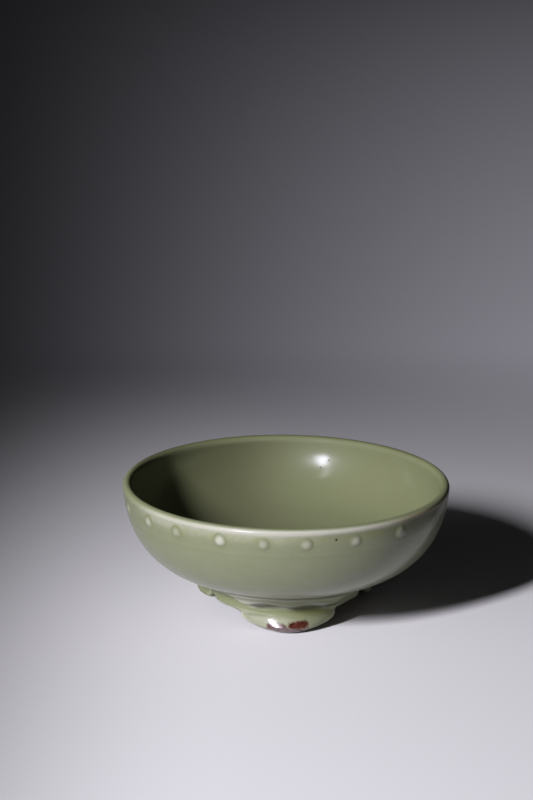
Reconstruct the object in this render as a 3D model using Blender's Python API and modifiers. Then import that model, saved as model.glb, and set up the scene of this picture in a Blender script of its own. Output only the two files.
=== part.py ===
"""Celadon brush washer: a turned bowl with a ring of pressed studs, luted onto three cloud-shaped feet.

Metres, +Z up. The origin is on the table under the bowl's axis, and the foot in front points to -Y.
"""
import math

import bmesh
import bpy
from mathutils import Matrix, Vector

# Bowl
RIM_RADIUS = 0.0825
RIM_HEIGHT = 0.0662
LIP_THICKNESS = 0.0044
WALL_THICKNESS = 0.0046
FLOOR_THICKNESS = 0.0055
BASE_RADIUS = 0.0460
BASE_LEVEL = 0.0193
OUTER_FULLNESS = 4.3
INNER_FULLNESS = 4.2
INNER_SHOULDER = 0.0005

# Turned lines under the lip
GROOVE_WIDTH = 0.0012
LINE_DROP = 0.0132
LINE_WIDTH = 0.0010
LINE_DEPTH = 0.00025
LINE_FLOOR_SHARE = 0.4

# Wiped ring on the underside, where the bowl stood on its support in the kiln
WIPED_OUTER_RADIUS = 0.0290
WIPED_INNER_RADIUS = 0.0215
WIPED_DEPTH = 0.0005

# Studs
STUD_COUNT = 22
STUD_DIAMETER = 0.0054
STUD_TALLNESS = 1.08
STUD_PROUD = 0.0012
STUD_EDGE = 0.0002
STUD_DROP = 0.0076
FIRST_STUD_ANGLE = 197.6
# How far the potter's hand set each stud from its even place, in degrees
STUD_SHIFTS = (1.4, 2.1, 0.4, 1.2, -0.4, -2.7, -2.2, -0.3, 2.5, 0.6, -0.9,
               1.3, -1.4, 0.5, -1.6, 0.9, 1.7, -0.6, -1.9, 0.8, -1.1, -2.0)

# Feet: half widths along the bowl, depths from the toe's face inwards, levels above the table
FEET = ("foot_front", "foot_rear_right", "foot_rear_left")
FRONT_FOOT_ANGLE = 272.0
SOLE_HALF_WIDTH = 0.0060
TOE_HALF_WIDTH = 0.0248
WING_GAP = 0.0032
TOE_INSET = 0.0007
SOLE_INSET = 0.0037
COLLAR_REACH = 0.0052
FACE_DEPTH = 0.0035
SOLE_DEPTH = 0.0050
TOE_DEPTH = 0.0105
ROOT_DEPTH = 0.0150
TOE_BELLY_LEVEL = 0.0048
TOE_SIDE_LEVEL = 0.0076
TOE_HEIGHT = 0.0098
WING_ROOT = 0.0086
WING_DROP = 0.0073
WING_SWEEP = 2.3
COLLAR_RISE = 0.0030
SIDE_ROUNDNESS = 2.2
SECTION_SQUARENESS = 2.8
END_CROWDING = 0.35

# How much lower each foot's left and right wings hang than the even form
WING_SAGS = ((0.0011, -0.0006), (-0.0008, 0.0003), (0.0002, 0.0011))

# Blunt tip in the middle of the toe
TIP_REACH = 0.0015
TIP_HALF_WIDTH = 0.0075
TIP_LEVEL = 0.0034
TIP_HEIGHT = 0.0038

# Neck drawn in between the toe and the collar
NECK_DEPTH = 0.0020
NECK_LEVEL = 0.0132
NECK_RUN = 0.0025
NECK_FLAT_SHARE = 0.45

# Three lobes that hang from the foot's collar
LOBE_COUNT = 3
LOBE_PITCH = 0.0212
LOBE_DROP = 0.0048
LOBE_LENGTH = 0.0026
LOBE_RELIEF = 0.0015
LOBE_EDGE = 0.0011
LOBE_ROUNDNESS = 0.6

JOINT_GAP = 0.0003

# Fineness
TURN_STEPS = 72
WALL_POINTS = 13
SEAT_POINTS = 19
BAND_POINTS = 4
INNER_POINTS = 11
LIP_INNER_ANGLE = 202.5
LIP_OUTER_ANGLE = -45.0
LIP_POINTS = 12
STUD_SEGMENTS = 14
STUD_RINGS = 6
TOE_LEVELS = 8
TOE_CROWDING = 1.3
COLLAR_LEVELS = 11
COLLAR_CROWDING = 1.15
FOOT_FACE_POINTS = 35
FOOT_BACK_POINTS = 7

GLAZE = (0.300, 0.345, 0.205)
GLAZE_ON_STUDS = (0.380, 0.415, 0.270)
GLAZE_ON_FEET = (0.330, 0.370, 0.225)


def smooth_step(low, high, value):
    """0 below low, 1 above high, and an S-shaped ease between them."""
    share = min(max((value - low) / (high - low), 0.0), 1.0)
    return share * share * (3.0 - 2.0 * share)


# The bowl's turned form


def belly_depth():
    """Depth of the wall's superellipse, so that it reaches the base's edge at the base's level."""
    reach = (BASE_RADIUS / RIM_RADIUS) ** OUTER_FULLNESS
    return (RIM_HEIGHT - BASE_LEVEL) / math.sqrt(1.0 - reach)


def belly_point(turn):
    """A point (radius, height) of the outer wall, turn being 0 at the rim and growing downwards."""
    radius = RIM_RADIUS * math.cos(turn) ** (2.0 / OUTER_FULLNESS)
    return radius, RIM_HEIGHT - belly_depth() * math.sin(turn)


def turn_at(height):
    """The wall's parameter at a height."""
    return math.asin((RIM_HEIGHT - height) / belly_depth())


def wall_rise(turn):
    """The direction straight up the wall at a turn, from the derivatives of its radius and height."""
    power = 2.0 / OUTER_FULLNESS
    outwards = RIM_RADIUS * power * math.cos(turn) ** (power - 1.0) * math.sin(turn)
    return Vector((outwards, 0.0, belly_depth() * math.cos(turn))).normalized()


def wall_points(top, bottom, count):
    """Points down the plain outer wall, from one height to another."""
    first, last = turn_at(top), turn_at(bottom)
    return [belly_point(first + (last - first) * i / (count - 1)) for i in range(count)]


def lip_points():
    """The rounded lip's bead, from its inner foot over the top to the groove under its outer side."""
    bead = LIP_THICKNESS / 2
    start, end = math.radians(LIP_INNER_ANGLE), math.radians(LIP_OUTER_ANGLE)
    angles = [start + (end - start) * i / (LIP_POINTS - 1) for i in range(LIP_POINTS)]
    centre = RIM_RADIUS - bead, RIM_HEIGHT - bead
    return [(centre[0] + bead * math.cos(a), centre[1] + bead * math.sin(a)) for a in angles]


def line_points():
    """The shallow line that runs round the wall under the studs."""
    middle = RIM_HEIGHT - LINE_DROP
    edge = LINE_WIDTH / 2
    floor = edge * LINE_FLOOR_SHARE
    points = []
    for offset, depth in ((edge, 0.0), (floor, LINE_DEPTH), (-floor, LINE_DEPTH), (-edge, 0.0)):
        radius, height = belly_point(turn_at(middle + offset))
        points.append((radius - depth, height))
    return points


def inner_points():
    """The bowl's inside, from the middle of its floor up to the lip."""
    top = lip_points()[0][1] - INNER_SHOULDER
    depth = top - BASE_LEVEL - FLOOR_THICKNESS
    points = []
    for i in range(INNER_POINTS):
        turn = math.radians(90.0) * (1.0 - i / (INNER_POINTS - 1))
        radius = (RIM_RADIUS - WALL_THICKNESS) * max(math.cos(turn), 0.0) ** (2.0 / INNER_FULLNESS)
        points.append((radius, top - depth * math.sin(turn)))
    points[0] = (0.0, points[0][1])
    return points


def underside_points():
    """The flat underside with its wiped ring, from the base's edge in to the axis."""
    bevel = WIPED_DEPTH / 2
    return [
        (WIPED_OUTER_RADIUS, BASE_LEVEL),
        (WIPED_OUTER_RADIUS - bevel, BASE_LEVEL + WIPED_DEPTH),
        (WIPED_INNER_RADIUS + bevel, BASE_LEVEL + WIPED_DEPTH),
        (WIPED_INNER_RADIUS, BASE_LEVEL),
        (0.0, BASE_LEVEL),
    ]


def bowl_profile():
    """The whole turned section, from the floor's middle over the lip to the underside's middle."""
    lip = lip_points()
    line = line_points()
    band = wall_points(lip[-1][1] - GROOVE_WIDTH, line[0][1], BAND_POINTS)[:-1]
    wall = wall_points(line[-1][1], BASE_LEVEL, WALL_POINTS)
    return inner_points() + lip + band + line + wall[1:] + underside_points()


def seat_profile():
    """The plain outer form grown by the joint's gap and closed over the top, to cut from studs and feet."""
    form = wall_points(RIM_HEIGHT, BASE_LEVEL, SEAT_POINTS) + [(0.0, BASE_LEVEL)]
    grown = []
    for i, (radius, height) in enumerate(form):
        before, after = form[max(i - 1, 0)], form[min(i + 1, len(form) - 1)]
        down = Vector((after[0] - before[0], after[1] - before[1])).normalized()
        grown.append((radius - down.y * JOINT_GAP, height + down.x * JOINT_GAP))
    grown[-1] = (0.0, BASE_LEVEL - JOINT_GAP)
    return [(0.0, RIM_HEIGHT), *grown]


def clean_scene():
    for item in list(bpy.data.objects):
        bpy.data.objects.remove(item, do_unlink=True)


def make_collection(name):
    collection = bpy.data.collections.new(name)
    bpy.context.scene.collection.children.link(collection)
    return collection


def make_glaze(name, colour):
    material = bpy.data.materials.new(name + "_glaze")
    material.use_nodes = True
    shader = material.node_tree.nodes["Principled BSDF"]
    shader.inputs["Base Color"].default_value = (*colour, 1.0)
    shader.inputs["Roughness"].default_value = 0.18
    shader.inputs["Metallic"].default_value = 0.0
    material.diffuse_color = (*colour, 1.0)
    return material


def make_object(name, mesh, collection, colour):
    """A named object; it has a glaze of its own, even where it shares its mesh with another."""
    if not mesh.materials:
        mesh.materials.append(None)
    item = bpy.data.objects.new(name, mesh)
    collection.objects.link(item)
    item.material_slots[0].link = "OBJECT"
    item.material_slots[0].material = make_glaze(name, colour)
    return item


def turned_mesh(name, profile):
    """A mesh of one open line in the XZ plane, for a Screw modifier to turn."""
    mesh = bpy.data.meshes.new(name)
    points = [(radius, 0.0, height) for radius, height in profile]
    mesh.from_pydata(points, [(i, i + 1) for i in range(len(points) - 1)], [])
    return mesh


def add_turning(item):
    screw = item.modifiers.new("turning", "SCREW")
    screw.axis = "Z"
    screw.steps = TURN_STEPS
    screw.render_steps = TURN_STEPS
    screw.use_merge_vertices = True
    screw.merge_threshold = 0.00001
    screw.use_smooth_shade = True


def add_seat(item, cutter):
    """Cuts the bowl's grown form out of a piece, so that it sits on the wall with the joint's gap."""
    cut = item.modifiers.new("seat", "BOOLEAN")
    cut.operation = "DIFFERENCE"
    cut.solver = "EXACT"
    cut.object = cutter


def make_bowl(collection):
    bowl = make_object("bowl", turned_mesh("bowl", bowl_profile()), collection, GLAZE)
    add_turning(bowl)


def make_seat_cutter(collection):
    cutter = bpy.data.objects.new("seat_cutter", turned_mesh("seat_cutter", seat_profile()))
    collection.objects.link(cutter)
    add_turning(cutter)
    cutter.hide_render = True
    cutter.display_type = "WIRE"
    return cutter


# Studs


def stud_mesh():
    """A flattened ball whose middle rim stands a little off the wall; Z points out of the wall."""
    shape = bmesh.new()
    bmesh.ops.create_uvsphere(shape, u_segments=STUD_SEGMENTS, v_segments=STUD_RINGS, radius=1.0)
    half = STUD_DIAMETER / 2
    rise = STUD_PROUD - JOINT_GAP - STUD_EDGE
    bmesh.ops.scale(shape, vec=(half, half * STUD_TALLNESS, rise), verts=shape.verts)
    bmesh.ops.translate(shape, vec=(0.0, 0.0, JOINT_GAP + STUD_EDGE), verts=shape.verts)
    mesh = bpy.data.meshes.new("stud")
    shape.to_mesh(mesh)
    shape.free()
    mesh.shade_smooth()
    return mesh


def stud_frame(angle):
    """Where a stud sits on the wall: X along the rim, Y up the wall, Z straight out of it."""
    turn = turn_at(RIM_HEIGHT - STUD_DROP)
    radius, height = belly_point(turn)
    up = wall_rise(turn)
    along = Vector((0.0, 1.0, 0.0))
    out = along.cross(up)
    frame = Matrix.Translation((radius, 0.0, height)) @ Matrix((along, up, out)).transposed().to_4x4()
    return Matrix.Rotation(math.radians(angle), 4, "Z") @ frame


def make_studs(collection, cutter):
    mesh = stud_mesh()
    for i in range(STUD_COUNT):
        stud = make_object(f"stud_{i + 1:02d}", mesh, collection, GLAZE_ON_STUDS)
        angle = FIRST_STUD_ANGLE + 360.0 * i / STUD_COUNT + STUD_SHIFTS[i % len(STUD_SHIFTS)]
        stud.matrix_world = stud_frame(angle)
        add_seat(stud, cutter)


# Feet


def spine_radius():
    """The radius at which the feet's widths are measured along the bowl."""
    return BASE_RADIUS - FACE_DEPTH


def wing_half_width():
    """Half the foot's full spread, which leaves the wing gap between one foot and the next."""
    return math.pi / len(FEET) * spine_radius() - WING_GAP / 2


def foot_half_width(level, sag):
    """The foot seen from the front: a narrow sole, a broad toe and wings that spread to the bowl."""
    rounding = 1.0 - (1.0 - min(level / TOE_SIDE_LEVEL, 1.0)) ** SIDE_ROUNDNESS
    toe = SOLE_HALF_WIDTH + (TOE_HALF_WIDTH - SOLE_HALF_WIDTH) * rounding
    share = min(max((level + sag - WING_ROOT) / (BASE_LEVEL - WING_DROP - WING_ROOT), 0.0), 1.0)
    return toe + (wing_half_width() - TOE_HALF_WIDTH) * share ** WING_SWEEP


def lobe_tip_level():
    return BASE_LEVEL - LOBE_DROP


def foot_face_radius(level):
    """The foot seen in section at its sides: sole, swelling toe, upright wing, then out to the wall."""
    toe = BASE_RADIUS - TOE_INSET
    if level < TOE_BELLY_LEVEL:
        return toe - (SOLE_INSET - TOE_INSET) * (1.0 - level / TOE_BELLY_LEVEL) ** SIDE_ROUNDNESS
    return toe + (TOE_INSET + COLLAR_REACH) * smooth_step(lobe_tip_level(), BASE_LEVEL + COLLAR_RISE, level)


def neck_hollow(along, level):
    """How deep the neck is drawn in under the collar: deepest in the middle, gone at the toe corners."""
    above = smooth_step(TOE_HEIGHT - NECK_RUN, NECK_LEVEL, level)
    below = 1.0 - smooth_step(NECK_LEVEL, lobe_tip_level() + NECK_RUN, level)
    corner = smooth_step(NECK_FLAT_SHARE, 1.0, abs(along) / TOE_HALF_WIDTH)
    return NECK_DEPTH * above * below * (1.0 - corner)


def toe_tip(along, level):
    """How far the middle of the toe comes forward, as a bell across and a bell upwards, gone at the sole."""
    across = math.exp(-((along / TIP_HALF_WIDTH) ** 2))
    upwards = math.exp(-(((level - TIP_LEVEL) / TIP_HEIGHT) ** 2))
    return TIP_REACH * across * upwards * smooth_step(0.0, TIP_LEVEL / 2, level)


def foot_back_radius(level):
    """The foot's back: close behind the sole, and deeper towards its root under the bowl."""
    sole = SOLE_INSET + SOLE_DEPTH
    heel = (TOE_DEPTH - sole) * smooth_step(0.0, TOE_SIDE_LEVEL, level)
    root = (ROOT_DEPTH - TOE_DEPTH) * smooth_step(TOE_HEIGHT, BASE_LEVEL, level)
    return BASE_RADIUS - sole - heel - root


def lobe_relief(along, level):
    """How far the collar's hanging lobes stand out: above a scalloped edge of equal arches."""
    half_span = LOBE_PITCH * LOBE_COUNT / 2
    if abs(along) >= half_span:
        return 0.0
    arch = abs(math.sin(math.pi * (along + half_span) / LOBE_PITCH))
    edge = lobe_tip_level() + LOBE_LENGTH * (1.0 - arch ** LOBE_ROUNDNESS)
    shown = smooth_step(edge - LOBE_EDGE / 2, edge + LOBE_EDGE / 2, level)
    merged = smooth_step(BASE_LEVEL - LOBE_DROP / 2, BASE_LEVEL + COLLAR_RISE / 2, level)
    return LOBE_RELIEF * arch ** LOBE_ROUNDNESS * shown * (1.0 - merged)


def section_shares(count, closed):
    """Places from -1 to 1 along a section, crowded towards its rounded ends."""
    last = count - 1 if closed else count + 1
    first = 0 if closed else 1
    shares = [2.0 * (i + first) / last - 1.0 for i in range(count)]
    return [share * (1.0 + END_CROWDING * (1.0 - share * share)) for share in shares]


def foot_section(level, sags):
    """One level's closed outline: a rounded bar bent round the bowl's axis, with its face towards -Y."""
    left, right = (foot_half_width(level, sag) for sag in sags)
    face, back = foot_face_radius(level), foot_back_radius(level)
    spine = face - min(FACE_DEPTH, (face - back) / 2)
    points = []
    for count, side in ((FOOT_FACE_POINTS, 1.0), (FOOT_BACK_POINTS, -1.0)):
        depth = face - spine if side > 0 else spine - back
        for share in section_shares(count, side > 0):
            along = side * share
            swell = (1.0 - abs(along) ** SECTION_SQUARENESS) ** (1.0 / SECTION_SQUARENESS)
            radius = spine + side * depth * swell
            place = along * (left if along < 0 else right)
            if side > 0:
                relief = lobe_relief(place, level) - neck_hollow(place, level) + toe_tip(place, level)
                radius += relief * swell
            angle = place / spine_radius()
            points.append((radius * math.sin(angle), -radius * math.cos(angle), level))
    return points


def foot_levels():
    """Levels of the foot's sections: close together near the sole and over the collar's lobes."""
    toe = [TOE_HEIGHT * (i / TOE_LEVELS) ** TOE_CROWDING for i in range(TOE_LEVELS)]
    shares = [(i / COLLAR_LEVELS) ** COLLAR_CROWDING for i in range(COLLAR_LEVELS + 1)]
    collar = [TOE_HEIGHT + (BASE_LEVEL - TOE_HEIGHT) * share for share in shares]
    return toe + collar + [BASE_LEVEL + COLLAR_RISE / 2, BASE_LEVEL + COLLAR_RISE]


def foot_mesh(name, sags):
    """The foot as a loft of level sections, from the flat sole up into the bowl, for the seat to cut."""
    rings = [foot_section(level, sags) for level in foot_levels()]
    count = len(rings[0])
    points = [point for ring in rings for point in ring]
    faces = [tuple(range(count))[::-1], tuple(range(len(points) - count, len(points)))]
    for ring in range(len(rings) - 1):
        for i in range(count):
            after = (i + 1) % count
            low, high = ring * count, (ring + 1) * count
            faces.append((low + i, low + after, high + after, high + i))
    mesh = bpy.data.meshes.new(name)
    mesh.from_pydata(points, [], faces)
    mesh.shade_smooth()
    return mesh


def make_feet(collection, cutter):
    for i, (name, sags) in enumerate(zip(FEET, WING_SAGS)):
        foot = make_object(name, foot_mesh(name, sags), collection, GLAZE_ON_FEET)
        turn = FRONT_FOOT_ANGLE - 270.0 + 360.0 * i / len(FEET)
        foot.matrix_world = Matrix.Rotation(math.radians(turn), 4, "Z")
        add_seat(foot, cutter)


def main():
    clean_scene()
    parts = make_collection("brush_washer")
    cutters = make_collection("cutters")
    cutter = make_seat_cutter(cutters)
    make_bowl(parts)
    make_studs(parts, cutter)
    make_feet(parts, cutter)


main()
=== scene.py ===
"""The looks of a celadon brush washer: a glazed bowl, a ring of pressed studs and three cloud-shaped feet.

Metres, +Z up. Each shape is a numpy surface set on the frame's own sizes, and its points carry numbers that
the finish reads. All pieces have glaze, from -1 where it runs thin and pale to 1 where it pools olive, and
bare, 1 where wiped clay shows; on the bowl and the feet, glaze also carries painted light and painted shade.
The rest also run from 0 to 1. The bowl and the feet have dry, where the glaze doesn't shine. The bowl has
deep, ruddy and straw, its dark, warm and yellow tints, the dark one being thick glaze inside and painted
shade inside and along the lip. The feet have burnt, filmed and wet, for a patch where the clay scorched under
the glaze, took a mauve film that is partly a painted sheen, and shines.
"""

import math

import bpy
import numpy as np
from mathutils import Matrix, Vector


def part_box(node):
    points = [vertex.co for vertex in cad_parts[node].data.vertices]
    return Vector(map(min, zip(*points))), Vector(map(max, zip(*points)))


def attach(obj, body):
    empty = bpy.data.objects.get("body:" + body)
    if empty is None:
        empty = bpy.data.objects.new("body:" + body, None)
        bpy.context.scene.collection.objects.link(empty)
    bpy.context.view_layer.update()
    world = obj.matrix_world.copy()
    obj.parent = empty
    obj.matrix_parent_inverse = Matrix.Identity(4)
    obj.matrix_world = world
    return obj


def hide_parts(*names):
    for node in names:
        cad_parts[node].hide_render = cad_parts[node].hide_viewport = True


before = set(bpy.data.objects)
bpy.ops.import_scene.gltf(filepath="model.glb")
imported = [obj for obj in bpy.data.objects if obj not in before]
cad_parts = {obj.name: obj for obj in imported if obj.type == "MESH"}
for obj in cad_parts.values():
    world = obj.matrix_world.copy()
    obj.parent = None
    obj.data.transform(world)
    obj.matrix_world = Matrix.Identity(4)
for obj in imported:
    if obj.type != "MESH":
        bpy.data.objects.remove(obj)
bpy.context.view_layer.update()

MM = 0.001

# Sizes read from the frame
bowl_low, bowl_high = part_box("bowl")
RIM_RADIUS = (bowl_high.x - bowl_low.x) / 2
RIM_TOP = bowl_high.z
BASE_LEVEL = bowl_low.z

# Bowl
BASE_RADIUS = 46.0 * MM
LIP_THICKNESS = 4.4 * MM
LIP_LAST_TURN = 4.0
WALL_THICKNESS = 4.6 * MM
FLOOR_THICKNESS = 5.5 * MM
INNER_WALL_DROP = 0.78 * LIP_THICKNESS
OUTER_FULLNESS = 4.3
INNER_FULLNESS = 4.0
EDGE_SOFTENING = 0.45 * MM
LINE_DROP = 13.0 * MM
LINE_DEPTH = 0.035 * MM
LINE_REACH = 0.40 * MM
WIPED_RING = ((21.5 * MM, 22.5 * MM), (28.0 * MM, 29.0 * MM))
WIPED_DEPTH = 0.4 * MM
MIDDLE_RADIUS = 0.5 * MM
INNER_COUNT, LIP_COUNT, OUTER_COUNT, UNDER_COUNT = 42, 22, 60, 24
TURN_STEPS = 600
SLOPE_STEP = 0.2 * MM

# Marks of the potter's fingers: how far each wave rises in a radian, and how deep it is
RING_RISE = 0.95 * MM
RING_DEPTH = 0.012 * MM
WANDER_RISE = 3.1 * MM
WANDER_TWIST = 9.0 * MM
WANDER_DEPTH = 0.05 * MM
INSIDE_MARK_SHARE = 0.6
INSIDE_MARK_RADII = (20.0 * MM, 50.0 * MM)

# How far the rim sank in the kiln: a lean, and a soft oval
RIM_LEAN = 0.45 * MM
RIM_LEAN_TOWARDS = math.radians(60.0)
RIM_OVAL = 0.25 * MM
RIM_OVAL_TURN = math.radians(20.0)

# Sides of the bowl in degrees anticlockwise from its right: the ease that each starts over, and ends over
FAR_SIDE = ((15.0, 40.0), (150.0, 175.0))
LEFT_SIDE = ((140.0, 165.0), (205.0, 225.0))
SHADED_SIDE = ((120.0, 165.0), (225.0, 262.0))
PALE_WALL_SIDE = ((200.0, 224.0), (262.0, 292.0))
SHINING_LIP_SIDE = ((222.0, 236.0), (262.0, 290.0))
STRAW_SIDE = ((212.0, 245.0), (298.0, 318.0))
THIN_LIP_START = (196.0, 226.0)
THIN_LIP_END = (300.0, 345.0)
RUDDY_LIP_START = (296.0, 322.0)

# The two turns where the lip's glaze is thinnest: middle and reach in degrees
THINNEST_TURN = (268.0, 28.0)
THIN_RIGHT_TURN = (318.0, 20.0)

# Bands of glaze and of painted shade by their middle and reach, counted outwards along the section from the
# lip's top
THIN_LIP = (2.7 * MM, 1.25 * MM)
PALE_WALL = (5.8 * MM, 2.6 * MM)
RUDDY_LIP = (1.8 * MM, 3.0 * MM)
POOLED_LIP = (-1.2 * MM, 1.1 * MM)
# Painted shade: darker along the far lip's top, and dimmer inside the far and the left lip
PAINTED_SHADE_FAR_LIP = (0.7 * MM, 1.3 * MM)
PAINTED_DIM_FAR_LIP = (-2.2 * MM, 2.2 * MM)
PAINTED_DIM_LEFT_LIP = (-2.4 * MM, 1.5 * MM)

# The lip is dry about a line just inside its top, and eases to glossy over these distances from it
DRY_LIP_SHIFT = 0.4 * MM
DRY_LIP_END = (3.0 * MM, 6.0 * MM)

# Painted shade inside, darkest left of the axis, that softens the edge of the rim's shadow: middle and reach
PAINTED_SHADE_INSIDE = (-30.0 * MM, 26.0 * MM)

# Bands round the outer wall: middle level and reach
STRAW_BAND = (RIM_TOP - 5.6 * MM, 1.9 * MM)
THIN_LINE = (RIM_TOP - LINE_DROP, 0.7 * MM)
POOLED_LINE = (RIM_TOP - LINE_DROP - 1.3 * MM, 1.0 * MM)
# Painted light, paler low on the wall, that lifts the shade where the feet meet the bowl
PAINTED_LIGHT_SEAT = (BASE_LEVEL + 2.1 * MM, 1.7 * MM)
PAINTED_LIGHT_BELLY = (BASE_LEVEL + 5.0 * MM, 2.4 * MM)

# Studs
STUD_RADIUS = 2.7 * MM
STUD_PROUD = 0.52 * MM
SKIRT_SINK = 0.12 * MM
STUD_ROOT = 0.8 * MM
STUD_FLATTENING = 0.96
STUD_RINGS, STUD_ROOT_RINGS, STUD_STEPS = 26, 5, 48
STUD_SEED = 40
BRIGHT_STUD = 3

# Places on a stud as shares of its radius
STUD_INNER_SHARE = 0.06
STUD_DOME = (0.15, 1.32)
STUD_SKIRT = 1.38
STUD_ROOT_SHARE = 0.1
STUD_PALE_END = (0.15, 1.20)
STUD_THIN_RIM = (1.0, 1.3)

# Glaze pooled round a stud
HALO_RADIUS = 3.5 * MM
HALO_REACH = 1.2 * MM
HALO_SAG = 0.6 * MM

# Feet: widths along the bowl, depths from the toe's face inwards, levels above the table
SOLE_HALF_WIDTH = 6.0 * MM
TOE_HALF_WIDTH = 24.8 * MM
TOE_INSET = 0.7 * MM
SOLE_INSET = 3.7 * MM
FACE_DEPTH = 3.5 * MM
SOLE_DEPTH = 5.0 * MM
TOE_DEPTH = 10.5 * MM
ROOT_DEPTH = 15.0 * MM
TOE_BELLY_LEVEL = 3.8 * MM
TOE_SIDE_LEVEL = 7.6 * MM
TOE_HEIGHT = 9.8 * MM
SIDE_ROUNDNESS = 2.2
SECTION_SQUARENESS = 2.8
SPINE_RADIUS = BASE_RADIUS - FACE_DEPTH

# Wings, whose ends almost meet between the feet
WING_GAP = 0.5 * MM
WING_ROOT = 8.6 * MM
WING_LEVEL = BASE_LEVEL - 7.3 * MM
WING_SWEEP = 2.3
WING_TIP = 2.2 * MM
WING_TIP_RISE = 2.8 * MM
WING_HALF_WIDTH = math.pi / 3 * SPINE_RADIUS - WING_GAP / 2

# Neck, collar and lobes
NECK_DEPTH = 2.0 * MM
NECK_LEVEL = 13.2 * MM
NECK_START = TOE_HEIGHT - 1.0 * MM
NECK_FLAT_SHARE = 0.45
COLLAR_REACH = 5.2 * MM
COLLAR_RISE = 3.0 * MM
LOBE_COUNT = 3
LOBE_PITCH = 17.7 * MM
LOBE_LENGTH = 1.6 * MM
LOBE_RELIEF = 1.4 * MM
LOBE_SHARPNESS = 2.2
LOBE_TIP = BASE_LEVEL - 4.1 * MM
NECK_END = LOBE_TIP + 2.5 * MM
BAND_SHARE = 0.65
APRON_REACH = 4.8 * MM
APRON_RUN = 9.0 * MM
APRON_ENDS = (19.0 * MM, 34.0 * MM)
APRON_EDGE = (-0.9 * MM, 0.8 * MM)
FILLET_REACH = 3.3 * MM
FILLET_DROP = 3.2 * MM
FILLET_CURVE = 2.4

# The toe's keel, the rims along its sides and the crease above it
KEEL_SLOPE = 0.22
KEEL_ROUND = 3.0 * MM
KEEL_OFFSET = 1.2 * MM
KEEL_START = (-0.6 * MM, 1.2 * MM)
KEEL_END = (1.5 * MM, 10.0 * MM)
SIDE_RIM_HEIGHT = 0.30 * MM
SIDE_RIM = (1.4 * MM, 1.0 * MM)
SIDE_RIM_LEVELS = ((3.0 * MM, 6.0 * MM), (15.0 * MM, 17.5 * MM))
INSET_STEP = 0.1 * MM
CREASE_DEPTH = 0.22 * MM
CREASE = (10.9 * MM, 0.45 * MM)
CREASE_ENDS = (17.0 * MM, 22.0 * MM)

# The grid of a foot: crowded towards the table and towards the ends of each row
FACE_STEPS, BACK_STEPS = 170, 60
TOE_ROWS, COLLAR_ROWS = 46, 66
TOE_ROW_CROWDING = 1.35
ROW_END_CROWDING = 0.45
ROOT_ROWS = np.array([0.1, 0.25, 0.5, 1.0])

# Spots of the burnt patch in mm: place along the toe, height, half width and half height
BURNT_LEFT = (-8.1, 3.9, 2.2, 2.0)
BURNT_HUMP = (5.6, 4.7, 4.6, 2.5)
BURNT_SHOULDER = (2.4, 4.5, 3.4, 2.3)
BURNT_MIDDLE = (-4.6, 3.9, 4.6, 2.1)
BURNT_BAND = (-0.5, 2.3, 11.2, 1.5)
WET_CHEEK = (-7.0, 7.6, 3.2, 1.8)
SPOT_EDGE = (0.4, 1.5)

# Eases on a foot's face, along the toe from left to right
PATCH_RIGHT = (1.0 * MM, 8.0 * MM)
WET_START = (-10.6 * MM, -8.8 * MM)
# Towards the right the toe and the collar are made less pale: painted shade
GLAZE_RIGHT = (5.0 * MM, 18.0 * MM)
# Where the painted shade on top of a burnt toe starts
PAINTED_SHADE_BROW_START = (-4.0 * MM, 9.0 * MM)

# Eases on a foot's face, by level above the table
BARE_SOLE = (0.15 * MM, 0.7 * MM)
DULL_CORNER = (2.2 * MM, 3.4 * MM)
DRY_START = (7.6 * MM, 9.2 * MM)
THIN_TOE_END = (TOE_HEIGHT - 3.0 * MM, TOE_HEIGHT + 1.5 * MM)
POOLED_SIDE_END = (TOE_HEIGHT, TOE_HEIGHT + 2.0 * MM)

# Eases of the painted light on the collar and its left wing, by height above the lobes' edge
PAINTED_LIGHT_COLLAR_START = (0.0, 1.5 * MM)
PAINTED_LIGHT_WING_START = (-0.3 * MM, 1.5 * MM)

# Bands of a foot's glaze, and of painted light and painted shade: middle and reach
POOLED_SIDE = (4.2 * MM, 1.8 * MM)
# A painted shade just below each lobe's edge
LOBE_SHADE = (-0.7 * MM, 0.7 * MM)
LOBE_CREST = (0.5 * MM, 0.5 * MM)
MIDDLE_LOBE = (0.0, 7.0 * MM)
MIDDLE_LOBE_POOL = (2.2 * MM, 1.2 * MM)
# Painted light on the collar's left wing and on the neck, lifting the shade and the collar's shadow there
PAINTED_LIGHT_LEFT_WING = (-21.0 * MM, 10.0 * MM)
PAINTED_LIGHT_NECK = (-1.9 * MM, 1.5 * MM)
# Painted shade on top of a burnt toe, below the crease
PAINTED_SHADE_BROW = (TOE_HEIGHT, 2.6 * MM)
BACK_GLAZE = 0.1

# Each foot's node, how far its left and right wings hang, the length of its toe's tip, and 1 for a burnt toe
FEET = (
    ("foot_front", 1.1 * MM, -0.6 * MM, 3.0 * MM, 1.0),
    ("foot_rear_right", -0.8 * MM, 0.3 * MM, 2.4 * MM, 0.0),
    ("foot_rear_left", 0.2 * MM, 2.6 * MM, 2.4 * MM, 0.0),
)


def smooth_step(low, high, value):
    """0 below low, 1 above high, and a cubic ease between them."""
    share = np.clip((value - low) / (high - low), 0.0, 1.0)
    return share * share * (3.0 - 2.0 * share)


def between(value, start, end):
    """1 between two eases: up over the start, down over the end."""
    return smooth_step(*start, value) * (1.0 - smooth_step(*end, value))


def bell(value, middle, reach):
    """1 at the middle, falling off on both sides as a bell of that reach."""
    return np.exp(-(((value - middle) / reach) ** 2))


# Meshes


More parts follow.
